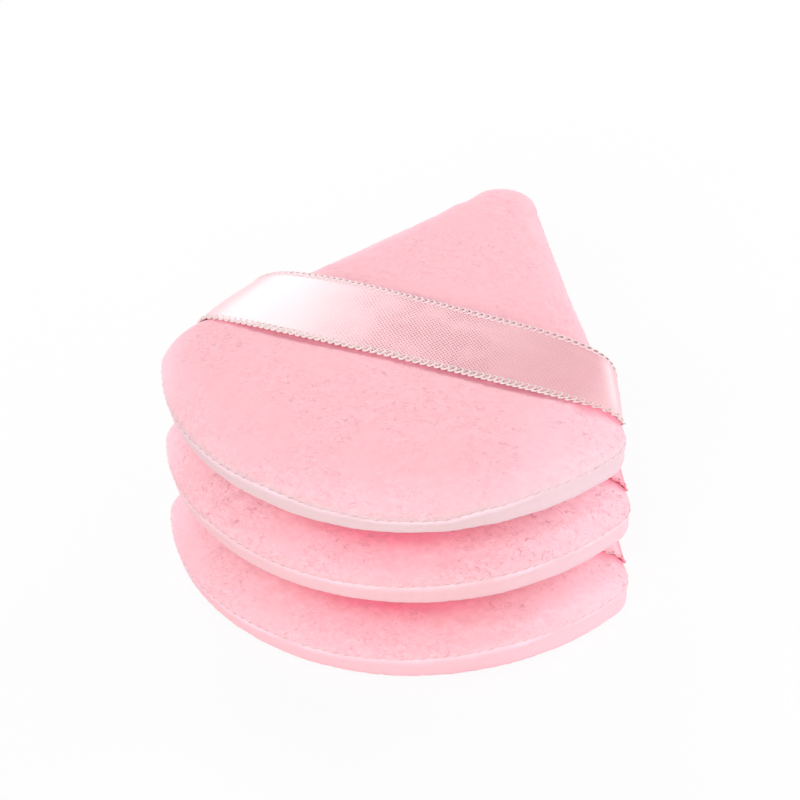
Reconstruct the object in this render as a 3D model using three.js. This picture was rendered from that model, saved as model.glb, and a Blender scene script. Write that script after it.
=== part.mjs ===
// A stack of three velour powder puffs. Each one is a rounded triangle with a foam core between
// an upper and a lower cover, a thread round the seam, and a satin ribbon for the fingers.
// Millimetres. +Z is up, +Y points at the rounded points of the puffs, and -Y at their curved fronts.
import * as THREE from "three";

// Driving sizes of the puff's outline, seen from above
const puff_length = 75; // from the curved front to the rounded point
const front_radius = 38;
const corner_radius = 4.8;
const point_radius = 4.8;
const point_half_angle = THREE.MathUtils.degToRad(33.4);

// Driving sizes of the puff's thickness, above and below its seam
const crown_height = 7.2;
const base_depth = 5;
const rest_flat_depth = 0.5; // how far the weight of the stack flattens the lowest base
const crown_roundness = 1.9; // exponent of the crown's curve: 2 is an ellipse, more is squarer
const base_roundness = 8;
const crown_centre_share = 0.45; // of the length, where the crown is highest

// Driving sizes of the cloth, the seam and the ribbon
const cover_thickness = 1;
const seam_gap = 0.3;
const groove_depth = 0.6;
const groove_half_height = 0.5;
const thread_radius = 0.15;
const ribbon_width = 14;
const ribbon_thickness = 0.4;
const ribbon_from_front = 30.8; // from the curved front to the ribbon's middle line
const ribbon_slope = -0.05; // how far the ribbon runs towards the front for each mm to the right
const ribbon_near_sweep = 3.6; // how far its near edge runs back from the front on its way to the sides
const ribbon_sweep_power = 2.6;
const ribbon_near_roundness = 2.5; // exponent of the near edge's curve over the crown
const ribbon_far_roundness = 4;
const ribbon_end_height = 0.35; // above the seam, where the ribbon's ends are caught
const clearance = 0.3; // between pieces that lie on each other
const ribbon_side_gap = 0.8; // beside the puff, where the ribbon bows out round its slanted sides

// How each puff of the stack lies on the one below it: sideways, lengthwise and turned
const tiers = [
  { name: "bottom", across: 0, along: 0, turn: 0, rests: true },
  { name: "middle", across: 0.1, along: 0.9, turn: THREE.MathUtils.degToRad(0.3), rests: false },
  { name: "top", across: 0.4, along: 0.9, turn: THREE.MathUtils.degToRad(-2), rests: false },
];

// Counts of the mesh
const front_steps = 9;
const corner_steps = 5;
const side_steps = 4;
const point_steps = 3;
const ribbon_steps = 30;
const ribbon_columns = 4;
const thread_sides = 6;

// How far towards the centre each ring of a dome lies, from its edge at 0 to its middle at 1
const crown_ring_shares = [0.02, 0.06, 0.13, 0.24, 0.42, 0.68];
const crown_inner_shares = [0.05, 0.15, 0.35, 0.68];
const base_ring_shares = [0.008, 0.025, 0.06, 0.25, 0.6];
const base_inner_shares = [0.02, 0.08, 0.5];

// Worked out from the sizes above
const ribbon_underside = crown_height + clearance;
const stack_pitch = ribbon_underside + ribbon_thickness + clearance + base_depth;
const crown_centre = new THREE.Vector2(0, puff_length * crown_centre_share);
const puff_half_width = Math.max(...outlinePoints(0).map((p) => p.x));

const velour = { roughness: 0.95, metalness: 0 };
const cover_material = new THREE.MeshStandardMaterial({ color: "#fcc2cb", ...velour });
const base_material = new THREE.MeshStandardMaterial({ color: "#fbcdd3", ...velour });
const foam_material = new THREE.MeshStandardMaterial({ color: "#fff3ee", roughness: 0.9, metalness: 0 });
const thread_material = new THREE.MeshStandardMaterial({ color: "#f3d9da", roughness: 0.8, metalness: 0 });
const satin_material = new THREE.MeshStandardMaterial({ color: "#f8bcc6", roughness: 0.35, metalness: 0 });

// Points on an arc, without the one that it starts from
function arcPoints(centre, radius, start, end, steps) {
  return Array.from({ length: steps }, (_, i) => {
    const angle = start + ((end - start) * (i + 1)) / steps;
    return new THREE.Vector2(Math.cos(angle), Math.sin(angle)).multiplyScalar(radius).add(centre);
  });
}

// The outline of the puff, drawn in by an even inset: a wide front arc, a straight side between two
// small arcs, and the mirror image of these. It runs anticlockwise from the middle of the front.
function outlinePoints(inset) {
  const side_normal = new THREE.Vector2(Math.cos(point_half_angle), Math.sin(point_half_angle));
  const along_side = new THREE.Vector2(-side_normal.y, side_normal.x);
  const front_centre = new THREE.Vector2(0, front_radius);
  const point_centre = new THREE.Vector2(0, puff_length - point_radius);
  // The corner's centre lies a corner radius inside the straight side and inside the front arc
  const side_distance = side_normal.dot(point_centre) + point_radius - corner_radius;
  const foot = side_normal.clone().multiplyScalar(side_distance);
  const from_front = foot.clone().sub(front_centre);
  const half_way = from_front.dot(along_side);
  const reach = front_radius - corner_radius;
  const slide = -half_way - Math.sqrt(half_way ** 2 - from_front.lengthSq() + reach ** 2);
  const corner_centre = foot.clone().addScaledVector(along_side, slide);
  const front_end = corner_centre.clone().sub(front_centre).angle() - 2 * Math.PI;

  const right = [new THREE.Vector2(0, inset)];
  right.push(...arcPoints(front_centre, front_radius - inset, -Math.PI / 2, front_end, front_steps));
  right.push(...arcPoints(corner_centre, corner_radius - inset, front_end, point_half_angle, corner_steps));
  const side_start = right.at(-1);
  const side_end = point_centre.clone().addScaledVector(side_normal, point_radius - inset);
  for (let i = 1; i <= side_steps; i++) right.push(side_start.clone().lerp(side_end, i / side_steps));
  right.push(...arcPoints(point_centre, point_radius - inset, point_half_angle, Math.PI / 2, point_steps));
  const left = right.slice(1, -1).reverse();
  return [...right, ...left.map((p) => new THREE.Vector2(-p.x, p.y))];
}

// Height of a dome at a share of the way from its edge to its middle, along a superellipse
function domeShare(share, roundness) {
  return (1 - (1 - share) ** roundness) ** (1 / roundness);
}

// A ring of a dome: the inset outline shrunk towards the crown's centre, at one height
function ring(inset, share, height) {
  return outlinePoints(inset).map((p) => {
    const q = p.lerp(crown_centre, share);
    return new THREE.Vector3(q.x, q.y, height);
  });
}

function middle(height) {
  return [new THREE.Vector3(crown_centre.x, crown_centre.y, height)];
}

// The rings of a crown from its edge to its middle, and of a base, which a flat may cut
function crownRings(inset, edge, height, shares) {
  return shares.map((s) => ring(inset, s, edge + (height - edge) * domeShare(s, crown_roundness)));
}

function baseRings(inset, edge, depth, shares, flat) {
  const low = (s) => Math.min(edge + (depth - edge) * domeShare(s, base_roundness), flat);
  return shares.map((s) => ring(inset, s, -low(s)));
}

// One closed skin over rings of equal count, with a single point at each end
function skin(rings) {
  const points = rings.flat();
  const index = [];
  let first = 0;
  for (let k = 1; k < rings.length; k++) {
    const upper = rings[k - 1].length;
    const lower = rings[k].length;
    const next = first + upper;
    const count = Math.max(upper, lower);
    for (let i = 0; i < count; i++) {
      const j = (i + 1) % count;
      if (lower > 1) index.push(first + (upper > 1 ? i : 0), next + i, next + j);
      if (upper > 1) index.push(first + i, next + (lower > 1 ? j : 0), first + j);
    }
    first = next;
  }
  return new THREE.BufferGeometry().setFromPoints(points).setIndex(index);
}

// The upper cover: a domed shell whose lip turns in to the seam's groove
function topCoverGeometry() {
  const lip = seam_gap / 2;
  const outer = crownRings(0, groove_half_height, crown_height, crown_ring_shares);
  const inner_height = crown_height - cover_thickness;
  const inner = crownRings(cover_thickness, lip, inner_height, crown_inner_shares);
  return skin([
    middle(crown_height),
    ...outer.reverse(),
    ring(0, 0, groove_half_height),
    ring(groove_depth, 0, lip),
    ring(cover_thickness, 0, lip),
    ...inner,
    middle(inner_height),
  ]);
}

// The lower cover: a shallow tray with steep sides, flat below where the stack rests on it
function bottomCoverGeometry(rests) {
  const lip = seam_gap / 2;
  const flat = base_depth - (rests ? rest_flat_depth : 0);
  const inner_depth = base_depth - cover_thickness;
  const inner_flat = flat - cover_thickness;
  const outer = baseRings(0, groove_half_height, base_depth, base_ring_shares, flat);
  const inner = baseRings(cover_thickness, lip, inner_depth, base_inner_shares, inner_flat);
  return skin([
    middle(-inner_flat),
    ...inner.reverse(),
    ring(cover_thickness, 0, -lip),
    ring(groove_depth, 0, -lip),
    ring(0, 0, -groove_half_height),
    ...outer,
    middle(-flat),
  ]);
}

// The foam core fills the space between the covers, less the clearance all round
function foamCoreGeometry(rests) {
  const inset = cover_thickness + clearance;
  const top = crown_height - inset;
  const flat = base_depth - (rests ? rest_flat_depth : 0) - inset;
  const upper = crownRings(inset, 0, top, crown_inner_shares);
  const lower = baseRings(inset, 0, base_depth - inset, base_inner_shares, flat);
  return skin([middle(top), ...upper.reverse(), ring(inset, 0, 0), ...lower, middle(-flat)]);
}

// The seam thread: a round loop that lies in the groove all the way round
function threadGeometry() {
  const path = outlinePoints(0);
  const outward = outlinePoints(thread_radius).map((p, i) => path[i].clone().sub(p).normalize());
  const points = [];
  const index = [];
  for (let i = 0; i < path.length; i++) {
    for (let k = 0; k < thread_sides; k++) {
      const angle = (2 * Math.PI * k) / thread_sides;
      const q = path[i].clone().addScaledVector(outward[i], thread_radius * Math.cos(angle));
      points.push(new THREE.Vector3(q.x, q.y, thread_radius * Math.sin(angle)));
      const next_i = ((i + 1) % path.length) * thread_sides;
      const next_k = (k + 1) % thread_sides;
      const here = i * thread_sides;
      index.push(here + k, next_i + k, next_i + next_k, here + k, next_i + next_k, here + next_k);
    }
  }
  return new THREE.BufferGeometry().setFromPoints(points).setIndex(index);
}

// How far back a lengthwise line of the ribbon runs at one place across the puff
function ribbonLineY(line, x) {
  return line.distance + ribbon_slope * x + line.sweep * Math.abs(x / puff_half_width) ** ribbon_sweep_power;
}

// Where a lengthwise line of the ribbon meets the left and the right side of the puff
function sideCrossings(line) {
  const path = outlinePoints(0);
  const past = (p) => p.y - ribbonLineY(line, p.x);
  const found = [];
  path.forEach((p, i) => {
    const q = path[(i + 1) % path.length];
    if (past(p) < 0 !== past(q) < 0) found.push(p.clone().lerp(q, past(p) / (past(p) - past(q))).x);
  });
  return [Math.min(...found), Math.max(...found)];
}

// The ribbon: a bridge over the crown. Each lengthwise line of it is a superellipse that comes down to
// the seam just outside the puff's left and right side, and that runs back to get behind its corners.
function ribbonGeometry() {
  const lines = Array.from({ length: ribbon_columns + 1 }, (_, j) => {
    const share = j / ribbon_columns;
    const line = {
      distance: ribbon_from_front + ribbon_width * (share - 0.5),
      sweep: ribbon_near_sweep * (1 - share),
      roundness: THREE.MathUtils.lerp(ribbon_near_roundness, ribbon_far_roundness, share),
    };
    return { ...line, sides: sideCrossings(line) };
  });
  const at = (line, turn, raised) => {
    const [left, right] = line.sides;
    const half_span = (right - left) / 2 + ribbon_side_gap + raised;
    const rise = ribbon_underside + raised - ribbon_end_height;
    const c = Math.cos(turn);
    const s = Math.sin(turn);
    const size = (Math.abs(c) ** line.roundness + s ** line.roundness) ** (-1 / line.roundness);
    const x = (left + right) / 2 - half_span * size * c;
    return new THREE.Vector3(x, ribbonLineY(line, x), ribbon_end_height + rise * size * s);
  };
  const sections = Array.from({ length: ribbon_steps + 1 }, (_, i) => {
    const turn = (Math.PI * i) / ribbon_steps;
    const outer = lines.map((line) => at(line, turn, ribbon_thickness));
    const inner = lines.map((line) => at(line, turn, 0)).reverse();
    return [...outer, ...inner];
  });
  const count = sections[0].length;
  const index = [];
  for (let i = 0; i < ribbon_steps; i++) {
    for (let j = 0; j < count; j++) {
      const a = i * count + j;
      const b = i * count + ((j + 1) % count);
      index.push(a, a + count, b + count, a, b + count, b);
    }
  }
  const last = ribbon_steps * count;
  for (let j = 0; j < ribbon_columns; j++) {
    const [a, b, c, d] = [j, j + 1, count - 2 - j, count - 1 - j];
    index.push(a, b, c, a, c, d);
    index.push(last + a, last + c, last + b, last + a, last + d, last + c);
  }
  return new THREE.BufferGeometry().setFromPoints(sections.flat()).setIndex(index);
}

function addMesh(group, name, geometry, material) {
  geometry.computeVertexNormals();
  const mesh = new THREE.Mesh(geometry, material);
  mesh.name = name;
  group.add(mesh);
}

// One puff, with its seam at height 0 and its crown's centre at the group's own centre line
function buildPuff(tier) {
  const puff = new THREE.Group();
  addMesh(puff, `${tier.name}_upper_cover`, topCoverGeometry(), cover_material);
  addMesh(puff, `${tier.name}_lower_cover`, bottomCoverGeometry(tier.rests), base_material);
  addMesh(puff, `${tier.name}_foam_core`, foamCoreGeometry(tier.rests), foam_material);
  addMesh(puff, `${tier.name}_seam_thread`, threadGeometry(), thread_material);
  addMesh(puff, `${tier.name}_finger_ribbon`, ribbonGeometry(), satin_material);
  for (const mesh of puff.children) mesh.geometry.translate(0, -crown_centre.y, 0);
  return puff;
}

const group = new THREE.Group();
tiers.forEach((tier, level) => {
  const puff = buildPuff(tier);
  const seam_height = base_depth - rest_flat_depth + level * stack_pitch;
  puff.position.set(tier.across, tier.along, seam_height);
  puff.rotation.z = tier.turn;
  group.add(puff);
});

// The origin is on the surface that the stack rests on, under the middle of its box
group.updateMatrixWorld(true);
const box = new THREE.Box3().setFromObject(group, true);
const centre = box.getCenter(new THREE.Vector3());
group.position.set(-centre.x, -centre.y, -box.min.z);
group.updateMatrixWorld(true);

export default group;
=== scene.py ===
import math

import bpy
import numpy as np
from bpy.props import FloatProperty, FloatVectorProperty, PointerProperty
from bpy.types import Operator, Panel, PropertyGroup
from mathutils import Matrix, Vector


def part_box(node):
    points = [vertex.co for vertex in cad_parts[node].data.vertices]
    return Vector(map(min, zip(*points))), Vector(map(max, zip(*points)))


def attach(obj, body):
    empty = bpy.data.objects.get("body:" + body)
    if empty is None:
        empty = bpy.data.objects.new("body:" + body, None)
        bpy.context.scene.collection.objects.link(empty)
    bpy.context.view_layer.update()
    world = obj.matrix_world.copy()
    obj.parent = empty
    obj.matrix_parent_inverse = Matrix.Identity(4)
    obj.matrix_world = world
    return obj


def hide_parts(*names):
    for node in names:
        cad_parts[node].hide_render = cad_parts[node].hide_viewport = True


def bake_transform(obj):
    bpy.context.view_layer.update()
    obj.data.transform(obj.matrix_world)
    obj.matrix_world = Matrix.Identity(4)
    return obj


bl_info = {
    "name": "Powder Puff Stack",
    "version": (1, 0, 0),
    "blender": (4, 5, 0),
    "location": "3D View > Sidebar > Powder Puff",
    "description": "Builds a stack of three velour powder puffs with satin finger ribbons",
    "category": "Object",
}

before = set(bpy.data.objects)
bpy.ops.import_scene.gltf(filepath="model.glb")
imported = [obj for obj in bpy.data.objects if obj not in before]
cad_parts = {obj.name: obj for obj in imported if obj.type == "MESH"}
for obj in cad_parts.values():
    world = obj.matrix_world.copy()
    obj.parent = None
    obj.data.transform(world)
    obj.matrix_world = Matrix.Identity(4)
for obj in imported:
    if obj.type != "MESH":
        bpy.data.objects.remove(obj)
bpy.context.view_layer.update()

MM = 0.001
TIERS = ("bottom", "middle", "top")
PICTURE = 800  # pixels across the photograph's square frame
SHARP = math.radians(50)  # where faces meet at more than this, their edge is drawn sharp


# Colours and sizes

def srgb(code):
    """A sRGB hex colour as linear red, green, blue and alpha."""
    parts = [int(code[k:k + 2], 16) / 255 for k in (1, 3, 5)]
    return (*[c / 12.92 if c <= 0.04045 else ((c + 0.055) / 1.055) ** 2.4 for c in parts], 1.0)


def length(name, description, default):
    """A length in metres."""
    return FloatProperty(name=name, description=description, default=default, unit="LENGTH", precision=6)


def lengths(name, description, default):
    """A row of lengths in metres."""
    return FloatVectorProperty(
        name=name, description=description, default=default, size=len(default), unit="LENGTH", precision=6
    )


def pair(name, description, default):
    """Two plain numbers, for the near and the far edge of the ribbon."""
    return FloatVectorProperty(name=name, description=description, default=default, size=2)


def angle(name, description, degrees):
    return FloatProperty(name=name, description=description, default=math.radians(degrees), subtype="ANGLE")


def factor(name, description, default):
    return FloatProperty(name=name, description=description, default=default)


def colour(name, description, code):
    return FloatVectorProperty(
        name=name, description=description, default=srgb(code), size=4, subtype="COLOR"
    )


def power(name, description, default):
    return FloatProperty(name=name, description=description, default=default, unit="POWER")


def seam_height(tier):
    """Height of a puff's seam above the floor: the middle of its seam thread."""
    low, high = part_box(f"{tier}_seam_thread")
    return (low.z + high.z) / 2


def crown_height():
    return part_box("top_upper_cover")[1].z - seam_height("top")


def base_depth():
    return seam_height("top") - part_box("top_lower_cover")[0].z


def puff_length():
    low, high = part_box("bottom_upper_cover")
    return high.y - low.y


class PuffShape(PropertyGroup):
    """Sizes of one puff, which all three share."""

    length: length("Length", "From the curved front to the rounded point", puff_length())
    front_radius: length("Front radius", "Radius of the wide front arc", 38 * MM)
    corner_radius: length("Corner radius", "Radius of the left and right corners", 4.8 * MM)
    point_radius: length("Point radius", "Radius of the rounded point", 4.8 * MM)
    point_half_angle: angle("Point half angle", "Half the angle between the straight sides", 33.4)
    crown_height: length("Crown height", "Height of the crown above the seam", crown_height())
    base_depth: length("Base depth", "Depth of the base below the seam", base_depth())
    rest_flat: length("Resting flat", "How far the stack's weight flattens the lowest base", 0.5 * MM)
    crown_roundness: factor("Crown roundness", "Exponent of the crown's curve, 2 for an ellipse", 1.9)
    base_roundness: factor("Base roundness", "Exponent of the base's curve", 8.0)
    crown_centre: factor("Crown centre", "Where the crown is highest, as a share of the length", 0.45)
    cover_thickness: length("Cover thickness", "Velour with its knitted back", 1 * MM)
    foam_gap: length("Foam gap", "Room between the foam and the covers", 0.3 * MM)
    foam_pit: length("Foam pits", "How far burst cells make the foam uneven", 0.12 * MM)
    foam_pit_spacing: length("Foam pit spacing", "From one pit of the foam to the next", 1.1 * MM)


class SeamShape(PropertyGroup):
    """Sizes of the seam, its stitches and its small puckers."""

    gap: length("Gap", "Opening between the two covers in the seam", 0.01 * MM)
    groove_depth: length("Groove depth", "How far the covers turn in to the seam", 0.04 * MM)
    groove_half_height: length("Groove half height", "From the seam to where a cover is widest", 0.3 * MM)
    stitch_pitch: length("Stitch pitch", "From one stitch to the next", 1.6 * MM)
    stitch_length: length("Stitch length", "Length of one stitch along the seam", 1.15 * MM)
    stitch_slant: length("Stitch slant", "How far a stitch climbs over its length", 0.3 * MM)
    thread_radius: length("Thread radius", "Radius of the sewing thread", 0.1 * MM)
    pucker_depth: length("Pucker depth", "How far each stitch draws the covers in", 0.1 * MM)
    pucker_reach: length("Pucker reach", "How far from the seam a pucker fades", 1.1 * MM)
    pucker_spacing: length("Pucker spacing", "From one deep stretch of puckers to the next", 5 * MM)
    stations: lengths(
        "Stations", "Places across the puff at which the seam's wander is given",
        [x * MM for x in (-33, -27, -20, -9, 0, 8, 16, 22, 28)],
    )
    bottom_drop: lengths(
        "Bottom seam wander", "How far the bottom puff's seam runs below its even line at each station",
        [z * MM for z in (2.4, 1.9, 1.1, 0.6, 0.5, 0.28, -0.15, -0.5, -0.55)],
    )
    middle_drop: lengths(
        "Middle seam wander", "How far the middle puff's seam runs below its even line at each station",
        [z * MM for z in (2.4, 1.6, 0.7, 0.7, 0.65, 0.57, 0.32, 0.2, 0)],
    )
    top_drop: lengths(
        "Top seam wander", "How far the top puff's seam runs below its even line at each station",
        [z * MM for z in (2.6, 1.9, 1.15, 0.5, 1.1, 1.6, 1.65, 0.6, 0)],
    )
    drop_reach: length("Wander reach", "Height above the seam over which its wander fades out", 3.5 * MM)


class VelourShape(PropertyGroup):
    """Sizes of the pile and of the soft unevenness of the filled covers."""

    pile_spacing: length("Pile spacing", "From one tuft of the short pile to the next", 0.62 * MM)
    pile_height: length("Pile unevenness", "How far tufts stand above or below the nap", 0.045 * MM)
    clump_spacing: length("Clump spacing", "From one clump of tufts to the next", 1.7 * MM)
    clump_height: length("Clump unevenness", "How far clumps stand above or below the nap", 0.035 * MM)
    swell_spacing: length("Swell spacing", "From one soft swell of the filling to the next", 14 * MM)
    swell_height: length("Swell", "How far the filling swells the cover in or out", 0.1 * MM)
    cloth_reach: length("Cloth reach", "Furthest that the inflated cloth may move", 0.25 * MM)
    hem_reach: length("Hem reach", "Height above the seam over which the face pales to its rim", 1.7 * MM)
    # Painted shade: the fold sizes set where the velour deepens to the fold colour in the crevice under the
    # puff above, where shade falls
    fold_depth: length("Fold depth", "How far in under the puff above the pile is fully pressed", 5.2 * MM)
    fold_reach: length("Fold reach", "How softly the pressed pile fades out towards the edge", 1.8 * MM)
    fold_middle: length("Fold middle", "Where across the puff the fold is deepest", 6 * MM)
    fold_spread: length("Fold spread", "How far to either side the fold fades", 15 * MM)
    ragged: length("Raggedness", "How unevenly pressed pile begins", 0.3 * MM)
    ragged_spacing: length("Ragged spacing", "From one such unevenness to the next", 0.9 * MM)
    # Painted highlight: a pale line along the lip of each lower cover
    lip_highlight: factor("Roll paleness", "How pale the pile is where the seam rolls it outwards", 0.8)
    lip_highlight_reach: length("Roll reach", "How far from the seam that pale line fades", 1.0 * MM)
    # Painted shade before the ribbon's near edge
    crease_reach: length("Crease reach", "How far the pile is pressed before the ribbon", 1.15 * MM)
    # Painted highlight: paler pile at both corners and along the left side
    corner_highlight: factor("Pale corners", "How much paler the brushed-up pile is at the two corners", 0.4)


class RibbonShape(PropertyGroup):
    """Sizes of the finger ribbon and its looped edges."""

    width: length("Width", "Width over both looped edges", 13.3 * MM)
    from_front: length("From front", "From the curved front to the ribbon's middle line", 31 * MM)
    slope: pair("Slope", "How far both edges run back to the right, for each metre", (-0.023, -0.062))
    sweep: lengths("Sweep", "How far the near and far edge run back at the sides", [4.9 * MM, -0.1 * MM])
    sweep_power: factor("Sweep power", "How late the edges run back on their way to the sides", 2.65)
    end_sweep: lengths("End sweep", "How far the near and far edge turn back at the seam", [1.5 * MM, 0])
    thickness: length("Thickness", "Thickness of the satin", 0.28 * MM)
    height: lengths("Height", "Underside of the near and far edge above the seam", [7.05 * MM, 7.7 * MM])
    left_gap: lengths("Left gap", "How far both edges bow out on the left", [-0.1 * MM, 0.3 * MM])
    right_gap: lengths("Right gap", "How far both edges bow out on the right", [-0.1 * MM, 1.2 * MM])
    tuck: length("Tuck", "How far the ribbon's ends reach into the seam", 0.5 * MM)
    left_roundness: pair("Left roundness", "Exponents of both edges' left shoulder", (2.3, 3.3))
    right_roundness: pair("Right roundness", "Exponents of both edges' right shoulder", (2.2, 4.8))
    ripple: length("Ripple", "How far the satin ripples up or down", 0.04 * MM)
    ripple_spacing: length("Ripple spacing", "From one ripple of the satin to the next", 6 * MM)
    picot_pitch: length("Picot pitch", "From one edge loop to the next", 1.03 * MM)
    picot_width: length("Picot width", "How far the loops reach out from the satin", 1.25 * MM)
    picot_yarn: length("Picot yarn radius", "Radius of the yarn of the loops", 0.18 * MM)
    picot_slant: factor("Picot slant", "How far a loop leans along the edge for its reach", 0.3)
    picot_overlap: factor("Picot overlap", "Share of a yarn radius by which loops overlap", 0.45)
    picot_lift: length("Picot lift", "Middle of the loops above the middle of the satin", 0.06 * MM)
    picot_rise: length("Picot rise", "How far one side of a loop rises over its middle", 0.08 * MM)


class StackPlaces(PropertyGroup):
    """How each puff lies on the one below, for the bottom, middle and top puff."""

    across: lengths("Across", "Sideways place of each puff", [0, 0.1 * MM, 0.4 * MM])
    along: lengths("Along", "Lengthwise place of each puff", [0, 0.9 * MM, 0.9 * MM])
    turn: FloatVectorProperty(
        name="Turn", description="Turn of each puff in the stack", size=3, subtype="EULER",
        default=(0, math.radians(0.3), math.radians(-2)),
    )


class PuffColours(PropertyGroup):
    """Colours as the eye sees them in even white light."""

    face: colour("Velour", "Brushed pile of the upper covers", "#fdc1c9")
    # Also painted shade in the low points of the pile
    deep: colour("Velour depth", "Pile that leans away, and the gaps between tufts", "#db8f9b")
    # Painted shade: the deep pink put in the crevices under a puff and before a ribbon, and on lower
    # ribbons' ends, where shade falls
    fold: colour("Velour fold", "Pile pressed together under a puff or ribbon", "#ff8fa5")
    bloom: colour("Velour bloom", "Light that the tips of the pile catch at grazing angles", "#ffe2f0")
    rim_bottom: colour("Bottom rim", "Lower cover of the bottom puff", "#f4bfc6")
    rim_middle: colour("Middle rim", "Lower cover of the middle puff", "#e8bbbf")
    rim_top: colour("Top rim", "Lower cover of the top puff", "#dcbfc1")
    foam: colour("Foam", "Open-cell foam of the core", "#fff3ee")
    thread: colour("Thread", "Sewing thread of the seam", "#f6d6d9")
    satin: colour("Satin", "Finger ribbon", "#f6bbc2")
    # Painted highlight: the ribbon drawn paler over its shoulders
    satin_highlight: colour("Satin ends", "Finger ribbon over its shoulders", "#fbd2d6")
    satin_tie: colour("Satin ties", "Points where the weft ties the warp down", "#b8707c")
    picot: colour("Picot", "Looped yarn along the ribbon's near edge", "#efdedb")
    # Painted shade: the far edge's loops drawn pinker, where less light reaches them
    picot_far: colour("Far picot", "Looped yarn along the ribbon's far edge", "#f8dde0")
    picot_gap: colour("Picot gap", "Shaded inside of the loops", "#967676")


class StageSetup(PropertyGroup):
    """Camera and light of the photograph."""

    azimuth: angle("Azimuth", "Turn of the camera round the stack, from its front", 22.255)
    elevation: angle("Elevation", "Height of the camera above the horizon", 39.121)
    roll: angle("Roll", "Turn of the camera about its own line of sight", -3.502)
    distance: length("Distance", "From the camera to its target", 592.97 * MM)
    target: lengths("Target", "Point that the camera looks at", [-3.762 * MM, -0.531 * MM, 20 * MM])
    focal_pixels: factor("Focal length", "Focal length in pixels of the square picture", 4095.3)
    ambient: factor("Ambient", "Strength of the even light from all round", 0.61)
    key: power("Key light", "Softbox behind on the left", 3.4)
    rim: power("Side light", "Softbox behind on the right", 4.6)
    fill: power("Fill light", "Softbox below the camera", 6.6)
    wings: power("Wing lights", "Softboxes on both sides", 1.5)


# Meshes

def add_piece(name, points, faces, material, values=None, uv=None):
    """A smooth mesh object of points and of faces, given as arrays of corner numbers."""
    points = points.reshape(-1, 3)
    corners = np.concatenate([f.ravel() for f in faces])
    counts = np.concatenate([np.full(len(f), f.shape[1]) for f in faces])
    starts = np.concatenate([[0], np.cumsum(counts)[:-1]])
    mesh = bpy.data.meshes.new(name)
    mesh.vertices.add(len(points))
    mesh.vertices.foreach_set("co", points.astype(np.float32).ravel())
    mesh.loops.add(len(corners))
    mesh.loops.foreach_set("vertex_index", corners.astype(np.int32))
    mesh.polygons.add(len(counts))
    mesh.polygons.foreach_set("loop_start", starts.astype(np.int32))
    mesh.update(calc_edges=True)
    mesh.validate()
    mesh.shade_smooth()
    for key, value in (values or {}).items():
        attribute = mesh.attributes.new(key, "FLOAT", "POINT")
        attribute.data.foreach_set("value", value.astype(np.float32).ravel())
    if uv is not None:
        layer = mesh.uv_layers.new(name="cloth")
        layer.data.foreach_set("uv", uv.reshape(-1, 2)[corners].astype(np.float32).ravel())
    mesh.materials.append(material)
    piece = bpy.data.objects.new(name, mesh)
    bpy.context.scene.collection.objects.link(piece)
    return piece


def numbered(*sizes, first=0):
    """Point numbers of a grid of the given sizes, row by row."""
    return first + np.arange(math.prod(sizes)).reshape(sizes)


def grid_faces(numbers, wrap=False):
    """Quads between neighbouring points of grids of point numbers, closed across their columns if wrap."""
    if wrap:
        numbers = np.concatenate([numbers, numbers[..., :1]], axis=-1)
    quads = [numbers[..., :-1, :-1], numbers[..., :-1, 1:], numbers[..., 1:, 1:], numbers[..., 1:, :-1]]
    return np.stack(quads, axis=-1).reshape(-1, 4)


def fan(ring, middle):
    """Triangles from a ring of point numbers to one point."""
    return np.stack([ring, np.full_like(ring, middle), np.roll(ring, -1)], axis=-1)


def smoothstep(t):
    """0 up to 0 and 1 from 1, with three times the square less twice the cube between them."""
    t = np.clip(t, 0, 1)
    return t * t * (3 - 2 * t)


def ramp(distance, start, end):
    """0 up to a start and 1 from an end, both in millimetres, with a smoothstep between them."""
    return smoothstep((distance / MM - start) / (end - start))


def smooth_noise(points, spacing, seed):
    """Random values on a cube lattice, blended by smoothstep between the eight corners round a point."""
    cells = 64
    lattice = np.random.default_rng(seed).uniform(-1, 1, (cells, cells, cells))
    place = points / spacing
    low = np.floor(place).astype(int)
    t = smoothstep(place - low)
    total = np.zeros(points.shape[:-1])
    for corner in np.ndindex(2, 2, 2):
        weight = np.prod(np.where(corner, t, 1 - t), axis=-1)
        i, j, k = np.moveaxis((low + corner) % cells, -1, 0)
        total += weight * lattice[i, j, k]
    return total


def unit(vectors):
    return vectors / np.linalg.norm(vectors, axis=-1, keepdims=True)


def grid_normals(points):
    """Unit normals of a grid of points: the cross product of its steps along columns and rows."""
    return unit(np.cross(np.gradient(points, axis=1), np.gradient(points, axis=0)))


def walked_along(line):
    """Distance along a line of points at each of them."""
    return np.concatenate([[0], np.cumsum(np.linalg.norm(np.diff(line, axis=0), axis=1))])


# Outline and section of a puff

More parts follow.
